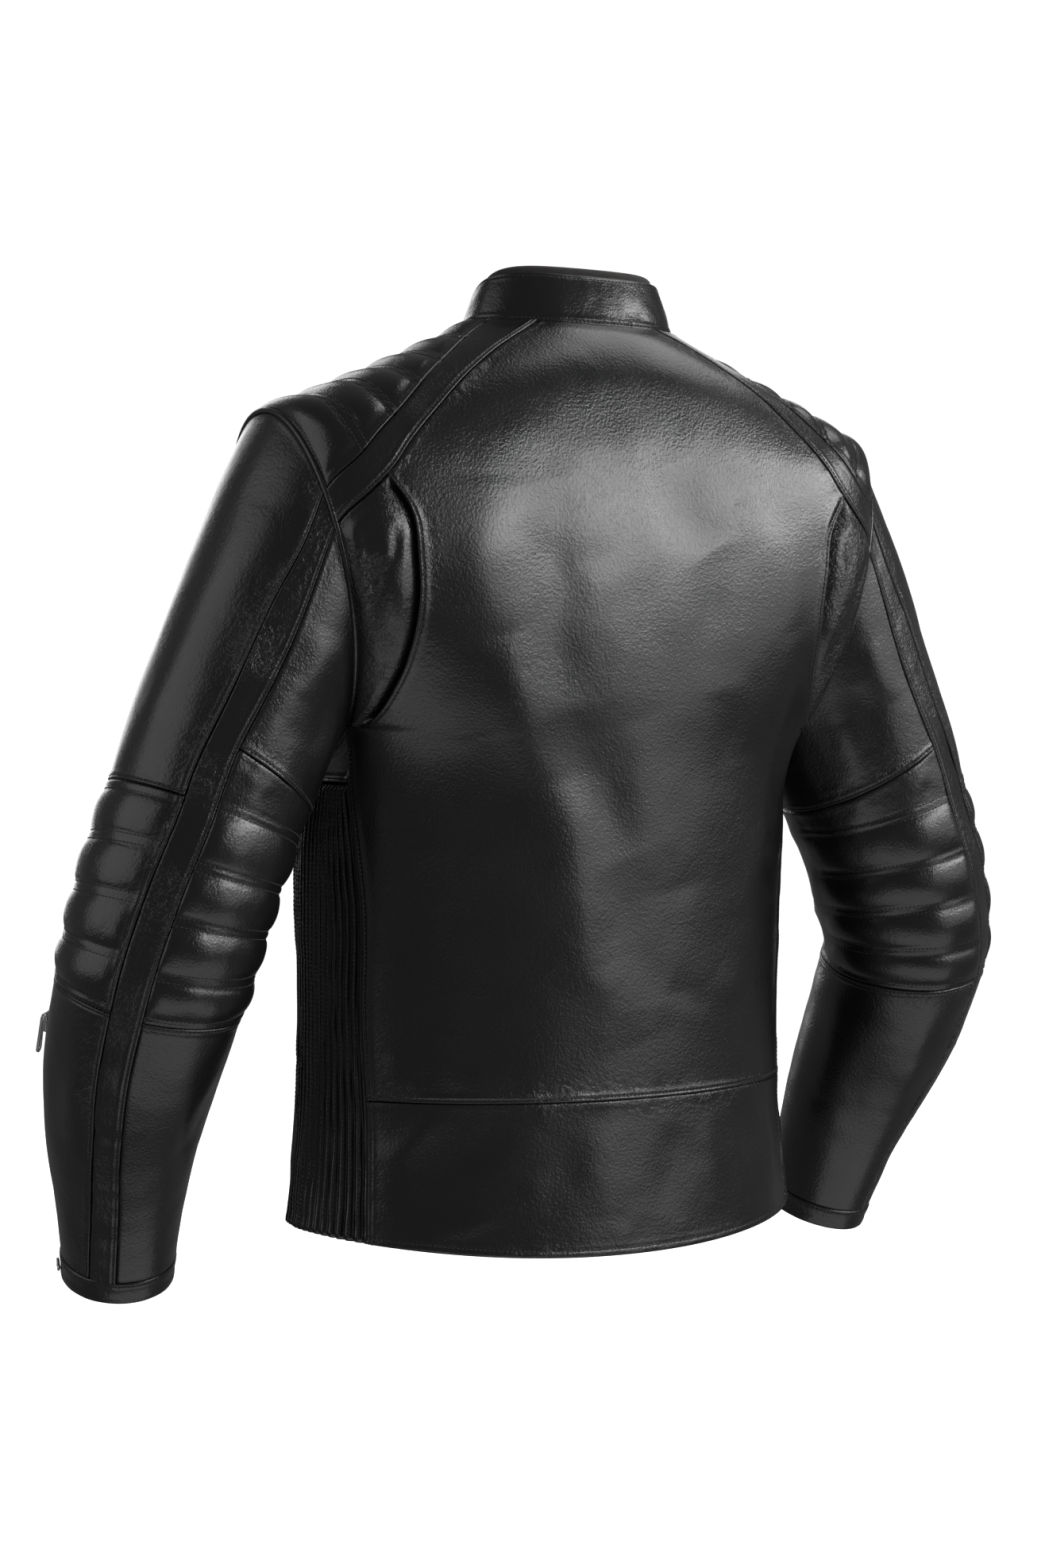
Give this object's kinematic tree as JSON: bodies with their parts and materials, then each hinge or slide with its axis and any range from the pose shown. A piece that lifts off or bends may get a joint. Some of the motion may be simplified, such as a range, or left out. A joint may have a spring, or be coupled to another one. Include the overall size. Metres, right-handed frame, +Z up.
{
  "type": "leather riding jacket",
  "caption": "Black leather riding jacket in worn form: stand collar, quilted shoulders and elbows, ribbed stretch sides, zipped front, pockets and cuffs, armour inside.",
  "frame": {"origin": "centre of the neck opening, level with the collar seam at the back of the neck", "axes": "+Z up; -Y out of the chest, +Y out of the back; +X towards the wearer's left"},
  "size_m": [0.7586, 0.2536, 0.7255],
  "materials": {
    "leather": "glossy smooth grain",
    "stretch_leather": "satin, in fine vertical ribs",
    "collar_cloth": "matte brushed cloth",
    "lining": "matte woven",
    "armour_foam": "matte foam",
    "zip_tape": "matte tape with dark metal teeth",
    "steel": "polished nickel"
  },
  "bodies": {
    "torso": {"back_panel": "leather", "back_waist_panel": "leather", "collar_outer": "leather", "collar_lining": "collar_cloth", "main_zip": "zip_tape", "lining_back": "lining", "back_protector": "armour_foam", "connection_zip": "zip_tape", "hanger_loop": "lining", "shoulder_stripe_left": "leather", "shoulder_pad_left": "leather", "action_gusset_left": "leather", "underarm_patch_left": "leather", "side_stretch_panel_left": "stretch_leather", "front_panel_left": "leather", "lining_front_left": "lining", "pocket_zip_left": "zip_tape", "shoulder_stripe_right": "leather", "shoulder_pad_right": "leather", "action_gusset_right": "leather", "underarm_patch_right": "leather", "side_stretch_panel_right": "stretch_leather", "front_panel_right": "leather", "lining_front_right": "lining", "pocket_zip_right": "zip_tape"},
    "main_zip_slider": {"main_zip_slider": "steel"},
    "main_zip_pull": {"main_zip_pull": "steel"},
    "collar_tab": {"collar_tab": "leather", "collar_stud": "steel"},
    "sleeve_left": {"sleeve_outer_left": "leather", "sleeve_inner_left": "leather", "sleeve_stripe_left": "leather", "sleeve_lining_left": "lining", "shoulder_armour_left": "armour_foam"},
    "forearm_left": {"forearm_outer_left": "leather", "forearm_inner_left": "leather", "forearm_stripe_left": "leather", "elbow_armour_left": "armour_foam", "cuff_binding_left": "leather", "cuff_zip_left": "zip_tape", "cuff_stud_left": "steel"},
    "cuff_zip_slider_left": {"cuff_zip_slider_left": "steel"},
    "cuff_zip_pull_left": {"cuff_zip_pull_left": "steel"},
    "pocket_zip_slider_left": {"pocket_zip_slider_left": "steel"},
    "sleeve_right": {"sleeve_outer_right": "leather", "sleeve_inner_right": "leather", "sleeve_stripe_right": "leather", "sleeve_lining_right": "lining", "shoulder_armour_right": "armour_foam"},
    "forearm_right": {"forearm_outer_right": "leather", "forearm_inner_right": "leather", "forearm_stripe_right": "leather", "elbow_armour_right": "armour_foam", "cuff_binding_right": "leather", "cuff_zip_right": "zip_tape", "cuff_stud_right": "steel"},
    "cuff_zip_slider_right": {"cuff_zip_slider_right": "steel"},
    "cuff_zip_pull_right": {"cuff_zip_pull_right": "steel"},
    "pocket_zip_slider_right": {"pocket_zip_slider_right": "steel"}
  },
  "joints": [
    {"name": "main_zip_run", "type": "hinge", "parent": "torso", "child": "main_zip_slider", "pos_m": [0, 1.40647, -0.53796], "axis": [1, 0, 0], "range_deg": [0, 19.4]},
    {"name": "main_zip_pull_swing", "type": "hinge", "parent": "main_zip_slider", "child": "main_zip_pull", "pos_m": [0, -0.08189, -0.09564], "axis": [-1, 0, 0], "range_deg": [0, 150]},
    {"name": "collar_tab_swing", "type": "hinge", "parent": "torso", "child": "collar_tab", "pos_m": [-0.02705, -0.04648, -0.03532], "axis": [-0.1466, -0.3818, -0.9125], "range_deg": [0, 110]},
    {"name": "shoulder_left", "type": "hinge", "parent": "torso", "child": "sleeve_left", "pos_m": [0.241, 0.014, -0.073], "axis": [0, -1, 0], "range_deg": [0, 35]},
    {"name": "elbow_left", "type": "hinge", "parent": "sleeve_left", "child": "forearm_left", "pos_m": [0.304, -0.0235, -0.4059], "axis": [-0.9717, -0.024, -0.2349], "range_deg": [0, 35]},
    {"name": "cuff_zip_run_left", "type": "hinge", "parent": "forearm_left", "child": "cuff_zip_slider_left", "pos_m": [-0.18877, 0.34896, -0.61394], "axis": [0.6039, 0.7014, -0.3786], "range_deg": [0, 12.2]},
    {"name": "cuff_zip_pull_swing_left", "type": "hinge", "parent": "cuff_zip_slider_left", "child": "cuff_zip_pull_left", "pos_m": [0.36785, -0.06416, -0.48704], "axis": [-0.6799, -0.672, 0.2936], "range_deg": [0, 150]},
    {"name": "pocket_zip_run_left", "type": "slide", "parent": "torso", "child": "pocket_zip_slider_left", "axis": [0.305, 0.0955, -0.9475], "range_m": [0, 0.085]},
    {"name": "shoulder_right", "type": "hinge", "parent": "torso", "child": "sleeve_right", "pos_m": [-0.241, 0.014, -0.073], "axis": [0, 1, 0], "range_deg": [0, 35]},
    {"name": "elbow_right", "type": "hinge", "parent": "sleeve_right", "child": "forearm_right", "pos_m": [-0.304, -0.0235, -0.4059], "axis": [-0.9717, 0.024, 0.2349], "range_deg": [0, 35]},
    {"name": "cuff_zip_run_right", "type": "hinge", "parent": "forearm_right", "child": "cuff_zip_slider_right", "pos_m": [0.18877, 0.34896, -0.61394], "axis": [0.6039, -0.7014, 0.3786], "range_deg": [0, 12.2]},
    {"name": "cuff_zip_pull_swing_right", "type": "hinge", "parent": "cuff_zip_slider_right", "child": "cuff_zip_pull_right", "pos_m": [-0.36785, -0.06416, -0.48704], "axis": [-0.6799, 0.672, -0.2936], "range_deg": [0, 150]},
    {"name": "pocket_zip_run_right", "type": "slide", "parent": "torso", "child": "pocket_zip_slider_right", "axis": [-0.305, 0.0955, -0.9475], "range_m": [0, 0.085]}
  ]
}
